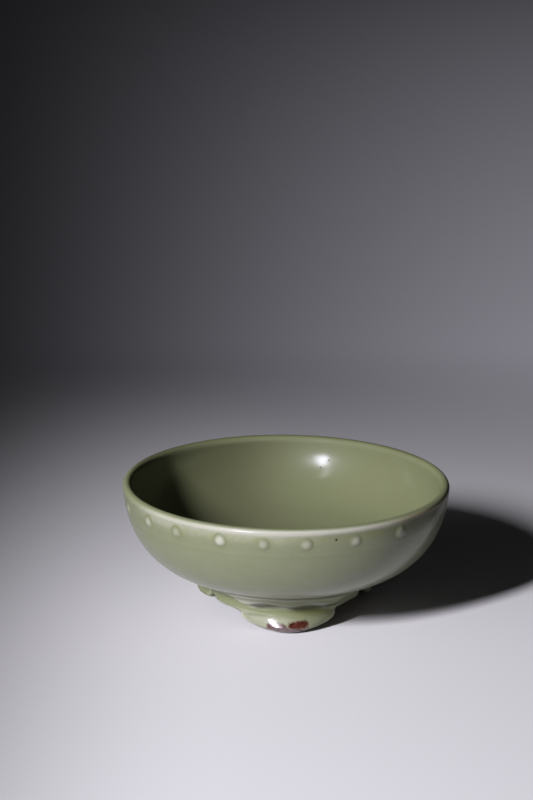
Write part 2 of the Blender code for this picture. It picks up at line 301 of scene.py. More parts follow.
def grid_mesh(name, points, first_pole=None, last_pole=None):
    """A closed skin from a grid of points (rows by columns by 3), its columns joined round.

    Each row is a ring. The first and the last ring are closed by a fan to a pole, and the
    faces point outwards where the rings run down the piece and the columns anticlockwise.
    """
    rows, columns = points.shape[:2]
    index = np.arange(rows * columns).reshape(rows, columns)
    after = np.roll(index, -1, axis=1)
    quads = np.stack([index[:-1], index[1:], after[1:], after[:-1]], axis=-1).reshape(-1, 4)
    top, bottom = rows * columns, rows * columns + 1
    crown = np.stack([np.full(columns, top), index[0], after[0]], axis=-1)
    floor = np.stack([np.full(columns, bottom), after[-1], index[-1]], axis=-1)
    poles = [points[0].mean(0) if first_pole is None else first_pole,
             points[-1].mean(0) if last_pole is None else last_pole]
    mesh = bpy.data.meshes.new(name)
    vertices = np.concatenate([points.reshape(-1, 3), np.array(poles)])
    mesh.from_pydata(vertices.tolist(), [], quads.tolist() + crown.tolist() + floor.tolist())
    mesh.shade_smooth()
    return mesh


def write_numbers(mesh, shape, **fields):
    """Spreads each number over the grid and writes it onto the points; a pole takes its ring's mean."""
    for name, field in fields.items():
        grid = np.broadcast_to(field, shape)
        values = np.concatenate([grid.ravel(), [grid[0].mean(), grid[-1].mean()]])
        attribute = mesh.attributes.new(name, "FLOAT", "POINT")
        attribute.data.foreach_set("value", values.astype(np.float32))


def round_points(radius, angle, level):
    """Points at a radius from the bowl's axis, an angle round it and a level above the table."""
    x, y = radius * np.cos(angle), radius * np.sin(angle)
    return np.stack([x, y, np.broadcast_to(level, radius.shape)], axis=-1)


def make_piece(name, mesh, material, slot, *nodes):
    """A finished piece: it rides the body, takes its material and stands for its nodes. The slot is not used.
    """
    piece = bpy.data.objects.new(name, mesh)
    bpy.context.scene.collection.objects.link(piece)
    mesh.materials.append(material)
    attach(piece, "root")
    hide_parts(*nodes)


# The bowl's turned section


WALL_DEPTH = (RIM_TOP - BASE_LEVEL) / math.sqrt(1.0 - (BASE_RADIUS / RIM_RADIUS) ** OUTER_FULLNESS)


def outer_line(count):
    """Down the outer wall: radius = rim * cos(turn) ** (2 / fullness), height falling by depth * sin(turn).

    The depth is such that the line reaches the base's edge at the base's level.
    """
    first = math.asin(LIP_THICKNESS / 2 / WALL_DEPTH)
    last = math.asin((RIM_TOP - BASE_LEVEL) / WALL_DEPTH)
    turn = np.linspace(first, last, count)
    radius = RIM_RADIUS * np.cos(turn) ** (2.0 / OUTER_FULLNESS)
    height = RIM_TOP - WALL_DEPTH * np.sin(turn)
    radius = radius - LINE_DEPTH * bell(height, RIM_TOP - LINE_DROP, LINE_REACH)
    return np.stack([radius, height], axis=-1)


def lip_line(count):
    """Over the rounded lip: an arc from its inner foot to where the outer wall takes over."""
    bead = LIP_THICKNESS / 2
    turn = np.radians(np.linspace(180.0, LIP_LAST_TURN, count))
    return np.stack([RIM_RADIUS - bead + bead * np.cos(turn), RIM_TOP - bead + bead * np.sin(turn)], axis=-1)


def inner_line(count):
    """Up the inside from the floor's middle: a superellipse inside the wall's thickness."""
    turn = np.radians(np.linspace(90.0, 0.0, count + 1)[1:])
    top = RIM_TOP - INNER_WALL_DROP
    depth = top - BASE_LEVEL - FLOOR_THICKNESS
    radius = (RIM_RADIUS - WALL_THICKNESS) * np.cos(turn) ** (2.0 / INNER_FULLNESS)
    return np.stack([radius, top - depth * np.sin(turn)], axis=-1)


def underside_line(count):
    """In along the flat underside, with the wiped ring as a shallow groove."""
    radius = np.linspace(BASE_RADIUS, MIDDLE_RADIUS, count + 1)[1:]
    return np.stack([radius, BASE_LEVEL + WIPED_DEPTH * between(radius, *WIPED_RING)], axis=-1)


def lengths(line):
    """Each point's distance along the line."""
    return np.concatenate([[0.0], np.cumsum(np.linalg.norm(np.diff(line, axis=0), axis=1))])


def softened(line, reach):
    """The line blurred along its own length by a bell, as glaze rounds every edge."""
    place = lengths(line)
    weight = bell(place[:, None], place[None, :], reach * math.sqrt(2.0)) * np.gradient(place)
    soft = weight @ line / weight.sum(1, keepdims=True)
    soft[0], soft[-1] = line[0], line[-1]
    return soft


SECTION = softened(
    np.concatenate([inner_line(INNER_COUNT), lip_line(LIP_COUNT), outer_line(OUTER_COUNT),
                    underside_line(UNDER_COUNT)]), EDGE_SOFTENING)
WALL_START = INNER_COUNT + LIP_COUNT
WALL_END = WALL_START + OUTER_COUNT
WALL_LINE = SECTION[WALL_START:WALL_END]


def wall_radius(height):
    """The outer wall's radius at a height, read off the softened section."""
    return np.interp(height, WALL_LINE[::-1, 1], WALL_LINE[::-1, 0])


def rim_dip(angle, height):
    """How far the kiln pulled the wall down: a lean and a soft oval at the rim, easing out to the base."""
    lean = RIM_LEAN * (1.0 + np.cos(angle - RIM_LEAN_TOWARDS)) / 2.0
    oval = RIM_OVAL * (1.0 + np.cos(2.0 * (angle - RIM_OVAL_TURN))) / 2.0
    return (lean + oval) * smooth_step(BASE_LEVEL, RIM_TOP, height)


def wheel_marks(angle, height):
    """The potter's fingers: faint rings that climb in a spiral, plus a slow wander, inwards only."""
    rings = 0.5 + 0.5 * np.sin(height / RING_RISE + angle)
    swing = np.cos(3.0 * angle + height / WANDER_TWIST)
    wander = 0.5 + 0.5 * np.sin(height / WANDER_RISE + 2.0 * angle + 1.0) * swing
    return RING_DEPTH * rings + WANDER_DEPTH * wander


def wall_place(angle, height, out):
    """Points a distance off the outer wall, the wall's sinking and wheel marks included."""
    slope = (wall_radius(height + SLOPE_STEP) - wall_radius(height - SLOPE_STEP)) / (2.0 * SLOPE_STEP)
    lean = np.sqrt(1.0 + slope * slope)
    radius = wall_radius(height) - wheel_marks(angle, height) + out / lean
    return round_points(radius, angle, height - out * slope / lean - rim_dip(angle, height))


# Places of the studs and feet, from the frame


def node_middle(name):
    """The mean of a node's points."""
    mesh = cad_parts[name].data
    points = np.zeros(len(mesh.vertices) * 3, np.float32)
    mesh.vertices.foreach_get("co", points)
    return points.reshape(-1, 3).mean(0)


def node_angle(name):
    """How far round the bowl a node stands."""
    middle = node_middle(name)
    return math.atan2(middle[1], middle[0])


STUDS = sorted(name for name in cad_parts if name.startswith("stud_"))
STUD_ANGLES = [node_angle(name) for name in STUDS]
STUD_HEIGHTS = [float(node_middle(name)[2]) for name in STUDS]


def stud_halos(angle, height):
    """Glaze pooled round each stud: a ring, a little lower than the stud, as the glaze ran down."""
    halo = np.zeros(np.broadcast(angle, height).shape)
    for middle, level in zip(STUD_ANGLES, STUD_HEIGHTS):
        turn = (angle - middle + math.pi) % (2.0 * math.pi) - math.pi
        away = np.hypot(turn * RIM_RADIUS, height - level + HALO_SAG)
        halo = np.maximum(halo, bell(away, HALO_RADIUS, HALO_REACH))
    return halo


# The bowl


def lip_thinning(turned, past_top):
    """How thin the glaze ran on the lip, most on the near side, and how pale it left the wall below."""
    near = smooth_step(*THIN_LIP_START, turned) * (1.0 - 0.4 * smooth_step(*THIN_LIP_END, turned))
    around = 0.15 + 0.38 * near + 0.60 * bell(turned, *THINNEST_TURN) + 0.50 * bell(turned, *THIN_RIGHT_TURN)
    wall = 0.36 * bell(past_top, *PALE_WALL) * between(turned, *PALE_WALL_SIDE)
    return around * bell(past_top, *THIN_LIP) + wall


def wall_glaze(height, halos):
    """The outer wall's glaze: pooled below the turned line and at the studs, thin on it, and painted light
    that makes it paler near the feet.
    """
    line = 0.08 * bell(height, *POOLED_LINE) - 0.08 * bell(height, *THIN_LINE)
    # Painted light low on the wall, lifting the shade over the feet
    painted_light_low = 0.70 * bell(height, *PAINTED_LIGHT_SEAT) + 0.28 * bell(height, *PAINTED_LIGHT_BELLY)
    return 0.06 * halos + line - painted_light_low - 0.12


def bowl_numbers(angle, radius, height):
    """The numbers that the bowl's points carry, from the place on the section and the turn."""
    place = np.arange(len(SECTION))[:, None]
    inside, under = place < INNER_COUNT, place >= WALL_END
    outside = (place >= WALL_START) & (place < WALL_END)
    past_top = lengths(SECTION)[:, None] - lengths(SECTION)[np.argmax(SECTION[:, 1])]
    turned = np.degrees(angle)
    halos = stud_halos(angle, height)

    glaze = (0.45 * bell(past_top, *POOLED_LIP) - lip_thinning(turned, past_top)
             + outside * wall_glaze(height, halos) + 0.12 * inside + 0.2 * under)
    # Dark tint inside: a little everywhere for thick glaze, plus painted shade left of the axis that softens
    # the edge of the rim's shadow, and painted shade along the far lip and inside the left lip
    deep_glaze_and_shade = inside * (0.13 + 0.30 * bell(radius * np.cos(angle), *PAINTED_SHADE_INSIDE))
    far_lip_painted_shade = 0.78 * bell(past_top, *PAINTED_SHADE_FAR_LIP) + 0.18 * bell(past_top, *PAINTED_DIM_FAR_LIP)
    left_lip_painted_shade = 0.4 * bell(past_top, *PAINTED_DIM_LEFT_LIP)
    deep_glaze_and_shade = deep_glaze_and_shade + far_lip_painted_shade * between(turned, *FAR_SIDE) + left_lip_painted_shade * between(turned, *LEFT_SIDE)
    straw = outside * (0.6 * bell(height, *STRAW_BAND) * between(turned, *STRAW_SIDE) + 0.30 * halos)
    ruddy = smooth_step(*RUDDY_LIP_START, turned) * bell(past_top, *RUDDY_LIP)
    dry_lip = 1.0 - smooth_step(*DRY_LIP_END, np.abs(past_top + DRY_LIP_SHIFT))
    dry_lip = dry_lip * (1.0 - 0.9 * between(turned, *SHINING_LIP_SIDE))
    dry = np.maximum(dry_lip, 0.8 * inside * between(turned, *SHADED_SIDE))
    return {"glaze": glaze, "bare": under * between(radius, *WIPED_RING), "dry": dry,
            "ruddy": ruddy, "deep_glaze_and_shade": deep_glaze_and_shade, "straw": straw}


def bowl_piece(material):
    """The bowl: the softened section turned about the axis, sunk at the rim, with faint wheel marks."""
    angle = np.linspace(0.0, 2.0 * math.pi, TURN_STEPS, endpoint=False)[None, :]
    radius, height = SECTION[:, 0][:, None], SECTION[:, 1][:, None]
    place = np.arange(len(SECTION))[:, None]
    mark_share = INSIDE_MARK_SHARE * (place < INNER_COUNT) * smooth_step(*INSIDE_MARK_RADII, radius)
    mark_share = mark_share - ((place >= WALL_START) & (place < WALL_END))
    reach = radius + mark_share * wheel_marks(angle, height)
    points = round_points(reach, angle, height - rim_dip(angle, height))
    mesh = grid_mesh("bowl_body", points, (0.0, 0.0, SECTION[0, 1]), (0.0, 0.0, SECTION[-1, 1]))
    write_numbers(mesh, points.shape[:2], **bowl_numbers(angle, radius, height))
    make_piece("bowl_body", mesh, material, "bowl_glaze", "bowl")


# Studs


def stud_line():
    """A stud's section as (share of its radius, height off the wall): a soft dome, a skirt that runs
    out under the wall's face, and a root inside the wall."""
    share = np.linspace(STUD_INNER_SHARE, STUD_SKIRT, STUD_RINGS)
    dome = STUD_PROUD * (1.0 - smooth_step(*STUD_DOME, share))
    skirt = SKIRT_SINK * smooth_step(1.0, STUD_SKIRT, share)
    root = np.linspace(STUD_SKIRT, STUD_ROOT_SHARE, STUD_ROOT_RINGS)[1:]
    return np.concatenate([share, root]), np.concatenate([dome - skirt, np.full(len(root), -STUD_ROOT)])


def stud_piece(number, material):
    """One stud: its section turned about the wall's own normal, drawn up into a slight tail by the hand."""
    chance = np.random.default_rng(STUD_SEED + number)
    bright = number == BRIGHT_STUD
    share, out = (line[:, None] for line in stud_line())
    turn = np.linspace(0.0, 2.0 * math.pi, STUD_STEPS, endpoint=False)[None, :]
    tail = 0.16 if bright else chance.uniform(0.0, 0.10)
    size = STUD_RADIUS * chance.uniform(1.12, 1.24)
    lift = 1.15 if bright else chance.uniform(0.75, 1.0)
    pull = chance.uniform(-0.5, 0.5)
    paleness = 0.85 if bright else chance.uniform(0.42, 0.62)
    drawn = tail * np.clip(np.cos(turn - math.pi / 2 + 0.4 * pull), 0.0, 1.0) ** 6
    away = size * share * (1.0 + drawn * np.clip(share, 0.0, 1.0))
    along, up = away * np.cos(turn), away * np.sin(turn) * STUD_FLATTENING
    dent = 1.0 + 0.10 * np.sin(turn + 6.0 * pull) * share * (1.3 - share)
    rise = np.where(out > 0.0, out * lift * dent, out)
    points = wall_place(STUD_ANGLES[number] + along / RIM_RADIUS, STUD_HEIGHTS[number] + up, rise)
    name = STUDS[number] + "_sprig"
    mesh = grid_mesh(name, points)
    glaze = -paleness * (1.0 - smooth_step(*STUD_PALE_END, share)) - 0.10 * smooth_step(*STUD_THIN_RIM, share)
    write_numbers(mesh, rise.shape, glaze=glaze, bare=0.0)
    make_piece(name, mesh, material, "stud_glaze", STUDS[number])


# Feet


def foot_half_width(level, sag):
    """A narrow sole, a broad toe, and wings that spread to the bowl, hanging lower by their sag."""
    rounding = 1.0 - (1.0 - np.minimum(level / TOE_SIDE_LEVEL, 1.0)) ** SIDE_ROUNDNESS
    toe = SOLE_HALF_WIDTH + (TOE_HALF_WIDTH - SOLE_HALF_WIDTH) * rounding
    spread = np.clip((level + sag - WING_ROOT) / (WING_LEVEL - WING_ROOT), 0.0, 1.0) ** WING_SWEEP
    tip = WING_TIP * (1.0 - smooth_step(WING_LEVEL, WING_LEVEL + WING_TIP_RISE, level + sag))
    return toe + (WING_HALF_WIDTH - TOE_HALF_WIDTH - tip) * spread


def foot_face_radius(level):
    """The foot's face in section: up from the sole's edge, over the toe's belly, and out to the bowl."""
    toe = BASE_RADIUS - TOE_INSET
    belly = (SOLE_INSET - TOE_INSET) * (1.0 - np.minimum(level / TOE_BELLY_LEVEL, 1.0)) ** SIDE_ROUNDNESS
    flare = (TOE_INSET + COLLAR_REACH) * smooth_step(LOBE_TIP, BASE_LEVEL + COLLAR_RISE, level)
    return toe - belly + flare


def foot_back_radius(level):
    """The foot's back: close behind the sole, deeper at its root under the bowl."""
    sole = SOLE_INSET + SOLE_DEPTH
    heel = (TOE_DEPTH - sole) * smooth_step(0.0, TOE_SIDE_LEVEL, level)
    root = (ROOT_DEPTH - TOE_DEPTH) * smooth_step(TOE_HEIGHT, BASE_LEVEL, level)
    return BASE_RADIUS - sole - heel - root


def neck_hollow(along, level):
    """How far the neck is drawn in under the collar: most in the middle, gone at the toe corners."""
    corners = smooth_step(NECK_FLAT_SHARE, 1.0, np.abs(along) / TOE_HALF_WIDTH)
    return NECK_DEPTH * between(level, (NECK_START, NECK_LEVEL), (NECK_LEVEL, NECK_END)) * (1.0 - corners)


def lobe_arch(along):
    """1 in the middle of each hanging lobe, falling off on both sides as a power of a sine."""
    half_span = LOBE_PITCH * LOBE_COUNT / 2
    arch = np.abs(np.sin(math.pi * (along + half_span) / LOBE_PITCH))
    return np.where(np.abs(along) < half_span, arch, 0.0) ** LOBE_SHARPNESS


def height_above_lobes(along, level):
    """Height above the scalloped edge of the collar."""
    return level - LOBE_TIP - LOBE_LENGTH * (1.0 - lobe_arch(along))


def apron(along, level):
    """The collar over the foot's face: an apron, thickest at its lobed lower edge, that thins upwards
    and towards the wings, with the lobes as tongues on it."""
    shown = smooth_step(*APRON_EDGE, height_above_lobes(along, level))
    ends = 1.0 - smooth_step(*APRON_ENDS, np.abs(along))
    sheet = APRON_REACH * ends * (1.0 - (level - LOBE_TIP) / APRON_RUN)
    merged = smooth_step(BASE_LEVEL, BASE_LEVEL + COLLAR_RISE, level)
    tongues = LOBE_RELIEF * (BAND_SHARE * ends + (1.0 - BAND_SHARE) * lobe_arch(along)) * (1.0 - merged)
    return (sheet + tongues) * shown


def keel(along, level, reach):
    """The toe's soft keel: its face runs back evenly from a rounded middle, most at the chin's level."""
    off = along - KEEL_OFFSET
    fall = KEEL_SLOPE * (np.sqrt(off * off + KEEL_ROUND * KEEL_ROUND) - KEEL_ROUND)
    return np.clip(reach - fall, 0.0, None) * between(level, KEEL_START, KEEL_END)


def foot_inset(along, level, sag):
    """True distance in from the foot's outline: the distance along the bowl, by the outline's own slope."""
    wider = foot_half_width(level + INSET_STEP, sag)
    slope = (wider - foot_half_width(level - INSET_STEP, sag)) / (2.0 * INSET_STEP)
    return (foot_half_width(level, sag) - np.abs(along)) / np.sqrt(1.0 + slope * slope)


def side_rim(inset, level):
    """1 along the crest of the raised rim at the foot's sides."""
    return bell(inset, *SIDE_RIM) * between(level, *SIDE_RIM_LEVELS)


def crease(along, level):
    """1 in the bottom of the crease across the foot, above the toe."""
    return bell(level, *CREASE) * (1.0 - smooth_step(*CREASE_ENDS, np.abs(along)))


def fillet(radius, level):
    """Glaze gathered where the foot meets the bowl: full at the bowl's outer form, gone a drop below it."""
    share = np.clip(radius / RIM_RADIUS, 0.0, 1.0) ** OUTER_FULLNESS
    bowl_level = np.maximum(BASE_LEVEL, RIM_TOP - WALL_DEPTH * np.sqrt(1.0 - share))
    return FILLET_REACH * np.clip(1.0 - (bowl_level - level) / FILLET_DROP, 0.0, 1.0) ** FILLET_CURVE


def foot_grid():
    """A foot's rows and columns: levels from the root down to the sole, shares of the half width along the
    face and back behind it, and 1 for the columns of the face."""
    toe = TOE_HEIGHT * (np.arange(TOE_ROWS) / TOE_ROWS) ** TOE_ROW_CROWDING
    collar = np.linspace(TOE_HEIGHT, BASE_LEVEL, COLLAR_ROWS)
    level = np.concatenate([toe, collar, BASE_LEVEL + COLLAR_RISE * ROOT_ROWS])[::-1]
    front = np.linspace(-1.0, 1.0, FACE_STEPS)
    behind = np.linspace(1.0, -1.0, BACK_STEPS + 2)[1:-1]
    share = np.concatenate([front, behind])
    share = share * (1.0 + ROW_END_CROWDING * (1.0 - share * share))
    on_face = np.arange(FACE_STEPS + BACK_STEPS) < FACE_STEPS
    return level[:, None], share[None, :], on_face[None, :]


def burnt_patch(along, level):
    """Where the glaze ran thin over iron-rich clay on the front toe: (burnt, filmed, wet), each 0 to 1; its
    mauve film is partly a painted sheen.
    """

    def spot(middle, height, reach, rise):
        away = np.hypot((along - middle * MM) / (reach * MM), (level - height * MM) / (rise * MM))
        return 1.0 - smooth_step(*SPOT_EDGE, away)

    middle, band = spot(*BURNT_MIDDLE), spot(*BURNT_BAND)
    burnt = np.maximum.reduce([spot(*BURNT_LEFT), spot(*BURNT_HUMP), spot(*BURNT_SHOULDER), middle, band])
    right = smooth_step(*PATCH_RIGHT, along)
    # The mauve film: partly a film on the clay, partly a painted sheen at the left and along the bottom
    filmed = np.maximum(0.75 * middle * (1.0 - right), band * (1.0 - 0.8 * right))
    dull = 0.85 * right * (1.0 - smooth_step(*DULL_CORNER, level))
    wet = np.maximum(burnt, spot(*WET_CHEEK)) * smooth_step(*WET_START, along) * (1.0 - dull)
    return burnt, filmed, wet


def face_glaze(along, level, inset, patch):
    """The glaze on a foot's face: thin on the toe, its rims and the lobes' edges, and pooled in the crease,
    in from the sides and on the middle lobe; with painted light on the neck, the collar and its left wing,
    and painted shade below the lobes' edges, towards the toe's right and on top of a burnt toe."""
    above = height_above_lobes(along, level)
    right = smooth_step(*GLAZE_RIGHT, along)
    # Pale on the toe where its glaze runs thin, less so towards the right: painted shade
    toe = -0.42 * (1.0 - 0.85 * right) * (1.0 - smooth_step(*THIN_TOE_END, level))
    sides = (0.10 + 0.55 * right) * bell(inset, *POOLED_SIDE)
    sides = sides * between(level, SIDE_RIM_LEVELS[0], POOLED_SIDE_END) - 0.35 * side_rim(inset, level)
    # Pale along each lobe's crest, and a painted shade just below it
    lobe_edges = lobe_arch(along) * (0.15 * bell(above, *LOBE_SHADE) - 0.55 * bell(above, *LOBE_CREST))
    middle_lobe = 0.40 * bell(along, *MIDDLE_LOBE) * bell(above, *MIDDLE_LOBE_POOL)
    # Painted light on the collar, most at the left, and on its left wing, where the bowl's shade falls
    collar = -0.34 * (1.0 - 0.8 * right) * smooth_step(*PAINTED_LIGHT_COLLAR_START, above)
    painted_light_left_wing = -0.26 * bell(along, *PAINTED_LIGHT_LEFT_WING) * smooth_step(*PAINTED_LIGHT_WING_START, above)
    # Painted light on the neck, lifting the collar's cast shadow
    neck = -0.85 * bell(above, *PAINTED_LIGHT_NECK) * (1.0 - smooth_step(*CREASE_ENDS, np.abs(along)))
    # Painted shade on top of a burnt toe
    painted_shade_brow = 0.75 * patch * bell(level, *PAINTED_SHADE_BROW) * smooth_step(*PAINTED_SHADE_BROW_START, along)
    pooled = 0.35 * crease(along, level)
    return toe + sides + lobe_edges + middle_lobe + collar + painted_light_left_wing + neck + painted_shade_brow + pooled


def foot_piece(name, material, sag_left, sag_right, tip, patch):
    """One foot: a loft of level sections, each a rounded bar bent round the bowl's axis, with its face
    modelled by the neck, the lobes, raised rims along its sides and the tip of its toe."""
    level, share, on_face = foot_grid()
    sag = np.where(share < 0.0, sag_left, sag_right)
    along = share * foot_half_width(level, sag)
    inset = foot_inset(along, level, sag)
    swell = (1.0 - np.minimum(np.abs(share), 1.0) ** SECTION_SQUARENESS) ** (1.0 / SECTION_SQUARENESS)
    face, back = foot_face_radius(level), foot_back_radius(level)
    spine = face - np.minimum(FACE_DEPTH, (face - back) / 2)
    relief = (apron(along, level) - neck_hollow(along, level) + keel(along, level, tip)
              + SIDE_RIM_HEIGHT * side_rim(inset, level) - CREASE_DEPTH * crease(along, level))
    radius = np.where(on_face, spine + (face - spine + relief) * swell, spine - (spine - back) * swell)
    gathered = fillet(radius, level) * swell
    radius = radius + np.where(on_face, gathered, -gathered)
    points = round_points(radius, node_angle(name) + along / SPINE_RADIUS, level)
    mesh = grid_mesh(name + "_body", points)

    burnt, filmed, wet = (patch * on_face * spread for spread in burnt_patch(along, level))
    write_numbers(
        mesh, radius.shape,
        glaze=np.where(on_face, face_glaze(along, level, inset, patch), BACK_GLAZE),
        bare=1.0 - smooth_step(*BARE_SOLE, level),
        dry=0.9 * smooth_step(*DRY_START, level) * (1.0 - wet),
        burnt=burnt, filmed=filmed, wet=wet)
    make_piece(name + "_body", mesh, material, "foot_glaze", name)


# Finishes


class Value:
    """A shader socket that takes part in sums: each operator adds one Math node to its finish."""

    def __init__(self, finish, socket):
        self.finish = finish
        self.socket = socket

    def math(self, operation, first, second):
        return self.finish.node("ShaderNodeMath", {"operation": operation}, {0: first, 1: second})

    def __add__(self, other):
        return self.math("ADD", self, other)

    __radd__ = __add__

    def __mul__(self, other):
        return self.math("MULTIPLY", self, other)

    __rmul__ = __mul__

    def __sub__(self, other):
        return self.math("SUBTRACT", self, other)

    def __rsub__(self, other):
        return self.math("SUBTRACT", other, self)

    def __truediv__(self, other):
        return self.math("DIVIDE", self, other)

    def __rtruediv__(self, other):
        return self.math("DIVIDE", other, self)

    def larger(self, other):
        return self.math("MAXIMUM", self, other)

    def step(self, low, high):
        """0 below low and 1 above high, eased between them."""
        sockets = {"Value": self, "From Min": low, "From Max": high}
        return self.finish.node("ShaderNodeMapRange", {"interpolation_type": "SMOOTHSTEP"}, sockets)


class Finish:
    """A material being made. node() adds any node: its settings first, then the sockets given."""

    def __init__(self, name):
        self.material = bpy.data.materials.new(name)
        self.material.use_nodes = True
        self.tree = self.material.node_tree
        self.shader = self.tree.nodes["Principled BSDF"]
        self.place = self.node("ShaderNodeTexCoord", output="Object")

    def node(self, kind, settings=None, sockets=None, output=0):
        made = self.tree.nodes.new(kind)
        for key, value in (settings or {}).items():
            setattr(made, key, value)
        for key, value in (sockets or {}).items():
            self.put(made.inputs[key], value)
        return Value(self, made.outputs[output])

    def put(self, socket, value):
        if isinstance(value, Value):
            self.tree.links.new(value.socket, socket)
        else:
            socket.default_value = value

    def surface(self, **sockets):
        """Sets the shader's own sockets, named with underscores for their spaces."""
        for key, value in sockets.items():
            self.put(self.shader.inputs[key.replace("_", " ")], value)

    def field(self, name):
        """The number that the mesh carries under this name."""
        return self.node("ShaderNodeAttribute", {"attribute_name": name}, output="Fac")

    def axis(self, name):
        """The place along the piece's X, Y or Z."""
        return self.node("ShaderNodeSeparateXYZ", None, {0: self.place}, name)

    def cloud(self, size, detail=2.0, shift=0.0):
        """Soft noise from -1 to 1 whose patches are about this size; a shift moves it off the others."""
        place = self.place if shift == 0.0 else self.node(
            "ShaderNodeVectorMath", {"operation": "ADD"}, {0: self.place, 1: (shift, shift, shift)})
        sockets = {"Vector": place, "Scale": 1.0 / size, "Detail": detail}
        return (self.node("ShaderNodeTexNoise", None, sockets) - 0.5) * 2.0

    def blend(self, share, first, second):
        """Colour between first and second."""
        return self.node("ShaderNodeMix", {"data_type": "RGBA"}, {0: share, 6: first, 7: second}, 2)

    def bump(self, height, distance):
        return self.node("ShaderNodeBump", None, {"Height": height, "Distance": distance})

    def near(self, point, radius):
        """1 at a point of the piece, falling to 0 at the radius."""
        sockets = {0: self.place, 1: point}
        away = self.node("ShaderNodeVectorMath", {"operation": "DISTANCE"}, sockets, "Value")
        return 1.0 - away.step(radius * PINHOLE_FLOOR, radius)


CELADON = (0.150, 0.163, 0.094, 1.0)
POOLED_GLAZE = (0.112, 0.113, 0.045, 1.0)
THIN_GLAZE = (0.360, 0.350, 0.308, 1.0)
RUDDY_GLAZE = (0.265, 0.235, 0.150, 1.0)
STRAW_GLAZE = (0.178, 0.186, 0.084, 1.0)
BURNT_CLAY = (0.165, 0.062, 0.040, 1.0)
FRESH_CLAY = (0.260, 0.115, 0.070, 1.0)
SCORCHED_GLAZE = (0.080, 0.021, 0.013, 1.0)
DEEP_SCORCH = (0.028, 0.006, 0.005, 1.0)
# Mauve film, partly a painted sheen
MAUVE_FILM_AND_SHEEN = (0.118, 0.090, 0.098, 1.0)
# Iron specks and pinholes, and the dark that thick glaze and painted shade are blended towards
IRON_SPECK_AND_SHADE = (0.030, 0.022, 0.014, 1.0)

# Sizes of the glaze's own patterns
MOTTLE, FINE_MOTTLE, STRAW_MOTTLE = 9.0 * MM, 1.6 * MM, 3.2 * MM
SPECK_PITCH = 7.0 * MM
SPECK_EDGE = (0.018, 0.045)
SPECK_REGIONS = 14.0 * MM
CLAY_GRAIN, CLAY_CLOUD = 0.9 * MM, 1.2 * MM
SCORCH_EDGE, SCORCH_CLOUD, FILM_GRAIN = 1.9 * MM, 2.2 * MM, 0.9 * MM
SKIN_WAVE, SKIN_GRAIN, SKIN_HEIGHT = 2.6 * MM, 0.9 * MM, 0.018 * MM
POLISH_PATCH = 5.0 * MM

# How rough the glaze and its coat are, and how glossy each kind of piece is
GLAZE_ROUGHNESS = 0.42
COAT_ROUGHNESS = 0.155
BOWL_GLOSS, STUD_GLOSS, FOOT_GLOSS = 0.60, 0.40, 0.30

# Pinholes in the bowl's glaze: the share of each that is its floor, then their places and radii
PINHOLE_FLOOR = 0.4
PINHOLES = (
    ((0.0237, -0.0787, 0.0604), 0.9 * MM),
    ((0.0232, 0.0731, 0.0535), 0.8 * MM),
    ((0.0188, 0.0730, 0.0495), 0.7 * MM),
)


def glaze_colour(finish, marks):
    """Celadon, paler where the glaze is thin and olive where it pools, clouded as a thick glaze is; the
    numbers it reads also bring in painted light and painted shade.
    """
    amount = finish.field("glaze") + 0.10 * finish.cloud(MOTTLE) + 0.07 * finish.cloud(FINE_MOTTLE, 3.0, 0.3)
    colour = finish.blend(amount.step(0.0, 1.0), CELADON, POOLED_GLAZE)
    thin = finish.blend(finish.field("ruddy"), THIN_GLAZE, RUDDY_GLAZE)
    colour = finish.blend((0.0 - amount).step(0.0, 1.0), colour, thin)
    straw = finish.field("straw") * (0.75 + 0.8 * finish.cloud(STRAW_MOTTLE, 2.0, 0.9))
    colour = finish.blend(straw.step(0.0, 1.0), colour, STRAW_GLAZE)
    # Darker for thick glaze inside the bowl, and painted shade inside it and along its lip
    colour = finish.blend(finish.field("deep_glaze_and_shade"), colour, IRON_SPECK_AND_SHADE)
    sockets = {"Vector": finish.place, "Scale": 1.0 / SPECK_PITCH}
    cells = finish.node("ShaderNodeTexVoronoi", None, sockets, "Distance")
    specks = (1.0 - cells.step(*SPECK_EDGE)) * finish.cloud(SPECK_REGIONS, 0.0, 0.7).step(0.25, 0.45)
    return finish.blend((specks * 0.6).larger(marks), colour, IRON_SPECK_AND_SHADE)


def scorched(finish, colour):
    """The colour with the burnt patch on it, and how much the patch shines."""
    edge = 0.6 * finish.cloud(SCORCH_EDGE, 4.0, 0.2)
    burnt = (finish.field("burnt") + edge).step(0.05, 0.95)
    # The mauve film, partly a painted sheen
    film = (finish.field("filmed") + 0.9 * finish.cloud(FILM_GRAIN, 3.0, 0.6)).step(0.25, 1.15)
    scorch = finish.blend(finish.cloud(SCORCH_CLOUD, 2.0, 0.4).step(-0.5, 0.6), SCORCHED_GLAZE, DEEP_SCORCH)
    shine = (finish.field("wet") + 0.4 * edge).step(0.15, 0.55)
    return finish.blend(burnt * burnt, colour, finish.blend(film * 0.8, scorch, MAUVE_FILM_AND_SHEEN)), shine


